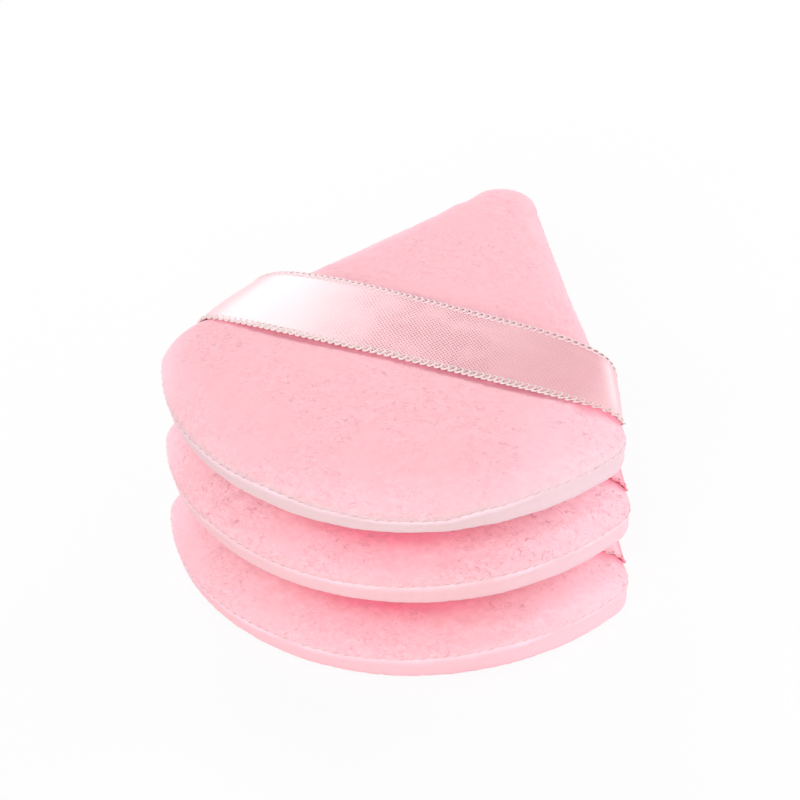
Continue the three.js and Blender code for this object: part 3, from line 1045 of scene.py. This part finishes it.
class POWDERPUFF_OT_stage(Operator):
    """Camera at the photograph's angle, soft lights, white surroundings and a pale floor."""

    bl_idname = "powderpuff.stage"
    bl_label = "Build stage"

    def execute(self, context):
        scene = context.scene
        stage = scene.stage_setup
        a, e, r = stage.azimuth, stage.elevation, stage.roll
        back = Vector((math.sin(a) * math.cos(e), -math.cos(a) * math.cos(e), math.sin(e)))
        level = Vector((math.cos(a), math.sin(a), 0))
        upright = back.cross(level)
        right = level * math.cos(r) + upright * math.sin(r)
        up = upright * math.cos(r) - level * math.sin(r)
        camera = bpy.data.objects.new("camera", bpy.data.cameras.new("camera"))
        camera.data.lens = stage.focal_pixels / PICTURE * camera.data.sensor_width
        camera.data.clip_start = 10 * MM
        turned = Matrix((right, up, back)).transposed().to_4x4()
        camera.matrix_world = Matrix.Translation(Vector(stage.target) + back * stage.distance) @ turned
        scene.collection.objects.link(camera)
        scene.camera = camera

        middle = Vector((0, 0, 20 * MM))
        for name, place, side, power in (
            ("key_softbox", (-0.52, 0.66, 0.45), 0.42, stage.key),
            ("side_softbox", (0.64, 0.7, 0.33), 0.6, stage.rim),
            ("fill_softbox", (0.05, -1.0, 0.42), 0.8, stage.fill),
            ("left_softbox", (-0.9, -0.3, 0.36), 0.6, stage.wings),
            ("right_softbox", (0.9, -0.3, 0.36), 0.6, stage.wings),
        ):
            light = bpy.data.lights.new(name, "AREA")
            light.shape = "SQUARE"
            light.size = side
            light.energy = power
            lamp = bpy.data.objects.new(name, light)
            lamp.location = Vector(place) + middle
            lamp.rotation_euler = Vector(place).to_track_quat("Z", "Y").to_euler()
            # The fill only brightens, so that the satin doesn't glare seen from behind
            lamp.visible_glossy = name != "fill_softbox"
            scene.collection.objects.link(lamp)

        world = bpy.data.worlds.new("white_surroundings")
        world.use_nodes = True
        tree = world.node_tree
        tree.nodes.clear()
        strength = add_node(
            tree, "MapRange", {"Value": seen_directly(tree), "To Min": stage.ambient, "To Max": 1.0}
        )
        shine = add_node(tree, "Background", {"Strength": strength})
        add_node(tree, "OutputWorld", {"Surface": shine})
        scene.world = world
        scene.view_settings.view_transform = "Standard"

        half = 2.0
        corners = np.array([[-half, -half, 0], [half, -half, 0], [half, half, 0], [-half, half, 0]])
        add_piece("floor", corners, [np.array([[0, 1, 2, 3]])], floor_material())
        return {"FINISHED"}


class POWDERPUFF_OT_covers(Operator):
    """Upper and lower velour covers of the three puffs."""

    bl_idname = "powderpuff.covers"
    bl_label = "Build velour covers"

    def execute(self, context):
        scene = context.scene
        colours = scene.puff_colours
        for tier, flecks in zip(TIERS, (0.75, 1.0, 0.6)):
            rim = getattr(colours, f"rim_{tier}")[:]
            face_velour = velour(f"brushed_velour_{tier}_face", colours.face[:], rim, colours, flecks)
            rim_velour = velour(f"brushed_velour_{tier}_rim", rim, colours.face[:], colours, 0.15)
            self.cover(scene, tier, True, face_velour)
            self.cover(scene, tier, False, rim_velour)
        return {"FINISHED"}

    def cover(self, scene, tier, upper, material):
        """One cover: a fine velour skin outside, a plain lining inside, and the lip between them."""
        shape, seam, velours = scene.puff_shape, scene.seam_shape, scene.velour_shape
        count = 251 if upper else 201
        outer, r, share_round = cover_skin(count, tier, scene, upper)
        # The outline is 5.5 times as long as the way from the lip to the middle
        from_lip = (1 - r) * outline_length(shape) / 5.5
        coarse, _, _ = cover_skin(count // 3 + 1, tier, scene, upper)
        swollen = refined(inflated(coarse, upper, velours.cloth_reach), count)
        swollen *= ramp(from_lip, 0, 2)[..., None]
        if upper:
            # The ribbon holds the cover down, so that it may swell everywhere but there
            free = ramp(np.maximum(*off_ribbon(outer, scene)), 0, 1)
            swollen[..., 2] *= np.where(swollen[..., 2] > 0, free, 1)
        outer = outer + swollen

        # Soft swells of the filling, the pile, and the dents that the stitches draw
        seed = 10 * TIERS.index(tier) + (0 if upper else 5)
        pile = smooth_noise(outer, velours.pile_spacing, seed + 1)
        clump = smooth_noise(outer, velours.clump_spacing, seed + 2)
        swell = smooth_noise(outer, velours.swell_spacing, seed + 3)
        stitch_turn = math.tau * share_round * round(outline_length(shape) / seam.stitch_pitch)
        wander = 0.5 + 0.5 * smooth_noise(outer, seam.pucker_spacing, seed + 4)
        pucker = (0.5 + 0.5 * np.cos(stitch_turn)) * wander * np.exp(-from_lip / seam.pucker_reach)
        lift = (
            (velours.pile_height * pile + velours.clump_height * clump) * ramp(from_lip, 0, 1.2)
            + velours.swell_height * swell * ramp(from_lip, 0, 6)
            - seam.pucker_depth * pucker
        )
        outer = outer + grid_normals(outer) * (lift if upper else -lift)[..., None]
        if not upper:
            outer[..., 2] = np.maximum(outer[..., 2], dome_middle(0.0, tier, shape, upper))

        # The lining: rings drawn in by the cover's thickness, down to one point in the middle
        rim = rim_numbers(count)
        rings = dome_rings(
            share_round.ravel()[rim], 11, shape.cover_thickness, seam.gap / 2, tier, scene, upper
        )
        middle = [[0, 0, dome_middle(shape.cover_thickness, tier, shape, upper)]]
        points = np.concatenate([outer.reshape(-1, 3), rings.reshape(-1, 3), middle])
        inner = numbered(*rings.shape[:2], first=count**2)
        strip = grid_faces(np.concatenate([rim[None], inner]), wrap=True)[:, ::-1]
        faces = [grid_faces(numbered(count, count)), strip, fan(inner[-1], len(points) - 1)]
        if not upper:
            faces = [f[:, ::-1] for f in faces]

        lining = np.zeros(len(points) - count**2)
        painted = {"pile": pile, **self.painted(outer, from_lip, seed, tier, upper, scene)}
        values = {key: np.concatenate([value.ravel(), lining]) for key, value in painted.items()}
        half = "upper" if upper else "lower"
        piece = add_piece(f"{tier}_{half}_velour", placed(points, tier, scene), faces, material, values)
        piece.data.set_sharp_from_angle(angle=SHARP)
        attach(piece, f"{tier}_puff")
        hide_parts(f"{tier}_{half}_cover")

    def painted(self, outer, from_lip, seed, tier, upper, scene):
        """How far each point takes the hem's colour, how strongly painted highlight pales it and how deep
        the painted shade in its folds is.
        """
        velours = scene.velour_shape
        x, y = outer[..., 0], outer[..., 1]
        # Painted highlight along the left side near the lip and over both corners
        side = 0.8 * (1 - ramp(from_lip, 0, 10)) * ramp(-x, 0, 6) * ramp(y, 0, 6)
        corners = np.maximum(ramp(-x, 27, 36), ramp(x, 16, 34))
        pale = velours.corner_highlight * np.maximum(corners, side)
        if upper:
            hem = 1 - smoothstep(from_lip / velours.hem_reach)
            return {"hem": hem, "pale": pale, "fold": crevice_shade(outer, tier, scene)}
        # Painted highlight: a pale line along the lip of the lower cover, stronger in some stretches than
        # in others
        highlight_wander = 0.6 + 0.4 * smooth_noise(outer, 4 * MM, seed + 6)
        line = velours.lip_highlight * highlight_wander * np.exp(-(from_lip / velours.lip_highlight_reach) ** 2)
        # The rim's own colour gives way to the face's towards the left corner
        return {"hem": 0.7 * ramp(-x, 24, 32), "pale": np.maximum(pale, line), "fold": np.zeros_like(x)}


class POWDERPUFF_OT_cores(Operator):
    """Foam cores between the covers."""

    bl_idname = "powderpuff.cores"
    bl_label = "Build foam cores"

    def execute(self, context):
        scene = context.scene
        shape = scene.puff_shape
        material = foam_material(scene.puff_colours)
        around = np.linspace(0, 1, 240, endpoint=False)
        inset = shape.cover_thickness + shape.foam_gap
        for tier in TIERS:
            crown, base = [
                dome_rings(around, 25, inset, 0.0, tier, scene, upper) for upper in (True, False)
            ]
            rings = np.concatenate([crown[::-1], base[1:]])
            # Burst cells pit the cut faces of the foam
            pits = shape.foam_pit * smooth_noise(rings, shape.foam_pit_spacing, 70 + TIERS.index(tier))
            normal = grid_normals(np.concatenate([rings, rings[:, :1]], axis=1))[:, :-1]
            rings = rings + normal * np.abs(pits)[..., None]
            top, low = [[[0, 0, dome_middle(inset, tier, shape, upper)]] for upper in (True, False)]
            points = np.concatenate([top, rings.reshape(-1, 3), low])
            numbers = numbered(*rings.shape[:2], first=1)
            caps = [fan(numbers[0], 0)[:, ::-1], fan(numbers[-1], len(points) - 1)]
            faces = [grid_faces(numbers, wrap=True)[:, ::-1], *caps]
            piece = add_piece(f"{tier}_foam_filling", placed(points, tier, scene), faces, material)
            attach(piece, f"{tier}_puff")
            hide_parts(f"{tier}_foam_core")
        return {"FINISHED"}


class POWDERPUFF_OT_stitches(Operator):
    """Closing stitches in the groove round each puff."""

    bl_idname = "powderpuff.stitches"
    bl_label = "Build seam stitches"

    def execute(self, context):
        scene = context.scene
        shape, seam = scene.puff_shape, scene.seam_shape
        material = thread_material(scene.puff_colours)
        around = outline_length(shape)
        count = round(around / seam.stitch_pitch)
        steps, sides = 7, 6
        t = np.linspace(0, 1, steps)
        k = np.linspace(0, math.tau, sides, endpoint=False)
        # Each stitch runs aslant over the groove, its ends drawn in and closed to points
        share = (np.arange(count)[:, None] + (t - 0.5) * seam.stitch_length / seam.stitch_pitch) / count
        bow = np.sin(math.pi * t)
        inset = seam.groove_depth * (1.1 - 0.75 * bow)
        radius = (seam.thread_radius * np.sqrt(np.clip(bow + 0.02, 0, 1)))[:, None]
        line = outline(share, shape, inset)
        outward = unit(line - outline(share, shape, inset + seam.thread_radius))[:, :, None]
        flat = line[:, :, None] + outward * (radius * np.cos(k))[..., None]
        numbers = numbered(count, steps, sides)
        faces = [grid_faces(numbers, wrap=True)[:, ::-1], numbers[:, 0], numbers[:, -1, ::-1]]
        uv = np.stack(np.broadcast_arrays((share * around)[..., None], seam.thread_radius * k), axis=-1)
        for tier in TIERS:
            z = (t - 0.5) * seam.stitch_slant - seam_drop(outline(share, shape)[..., 0], tier, seam)
            high = z[..., None] + radius * np.sin(k)
            points = placed(np.concatenate([flat, high[..., None]], axis=-1), tier, scene)
            piece = add_piece(f"{tier}_seam_stitches", points, faces, material, uv=uv)
            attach(piece, f"{tier}_puff")
            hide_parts(f"{tier}_seam_thread")
        return {"FINISHED"}


class POWDERPUFF_OT_ribbons(Operator):
    """Satin finger ribbons with their looped edges."""

    bl_idname = "powderpuff.ribbons"
    bl_label = "Build finger ribbons"

    def execute(self, context):
        scene = context.scene
        satin = satin_material(scene.puff_colours)
        yarn = picot_material(scene.puff_colours)
        for tier in TIERS:
            node = f"{tier}_finger_ribbon"
            # The top ribbon is lifted by the fingers; it is made as two halves
            stretches = [("_left", 0.0, 0.5), ("_right", 0.5, 1.0)] if tier == "top" else [("", 0.0, 1.0)]
            for side, start, end in stretches:
                band, walked = ribbon_half(f"{tier}_satin_ribbon{side}", tier, start, end, satin, scene)
                loops = picot_loops(f"{tier}_ribbon_picots{side}", tier, start, end, yarn, scene)
                for piece in (band, loops):
                    if tier == "top":
                        self.bend(piece, start, scene)
                    else:
                        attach(piece, f"{tier}_puff")
                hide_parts(node)
        return {"FINISHED"}

    def bend(self, piece, start, scene):
        """Bakes the piece's place into its mesh; the sewn end and the middle are worked out, but nothing
        uses them.
        """
        sewn = 0.0 if start == 0.0 else 1.0
        ends = ribbon_point(np.array([sewn, 0.5]), 0.5, 0.0, "top", scene)
        ends[:, 2] = ends[1, 2]
        ends = placed(ends, "top", scene)
        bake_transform(piece)


class POWDERPUFF_PT_panel(Panel):
    """Sizes, colours and building steps of the powder puff stack."""

    bl_label = "Powder Puff Stack"
    bl_space_type = "VIEW_3D"
    bl_region_type = "UI"
    bl_category = "Powder Puff"

    def draw(self, context):
        for key, group in GROUPS.items():
            box = self.layout.box()
            box.label(text=key.replace("_", " ").capitalize())
            for name in group.__annotations__:
                box.prop(getattr(context.scene, key), name)
        for operator in OPERATORS:
            self.layout.operator(operator.bl_idname)


GROUPS = {
    "puff_shape": PuffShape,
    "seam_shape": SeamShape,
    "velour_shape": VelourShape,
    "ribbon_shape": RibbonShape,
    "stack_places": StackPlaces,
    "puff_colours": PuffColours,
    "stage_setup": StageSetup,
}
OPERATORS = (
    POWDERPUFF_OT_stage,
    POWDERPUFF_OT_covers,
    POWDERPUFF_OT_cores,
    POWDERPUFF_OT_stitches,
    POWDERPUFF_OT_ribbons,
)


def register():
    for cls in (*GROUPS.values(), *OPERATORS, POWDERPUFF_PT_panel):
        bpy.utils.register_class(cls)
    for key, group in GROUPS.items():
        setattr(bpy.types.Scene, key, PointerProperty(type=group))


def unregister():
    for key in GROUPS:
        delattr(bpy.types.Scene, key)
    for cls in reversed((*GROUPS.values(), *OPERATORS, POWDERPUFF_PT_panel)):
        bpy.utils.unregister_class(cls)


def main():
    register()
    bpy.ops.powderpuff.stage()
    bpy.ops.powderpuff.covers()
    bpy.ops.powderpuff.cores()
    bpy.ops.powderpuff.stitches()
    bpy.ops.powderpuff.ribbons()


if __name__ == "__main__":
    main()
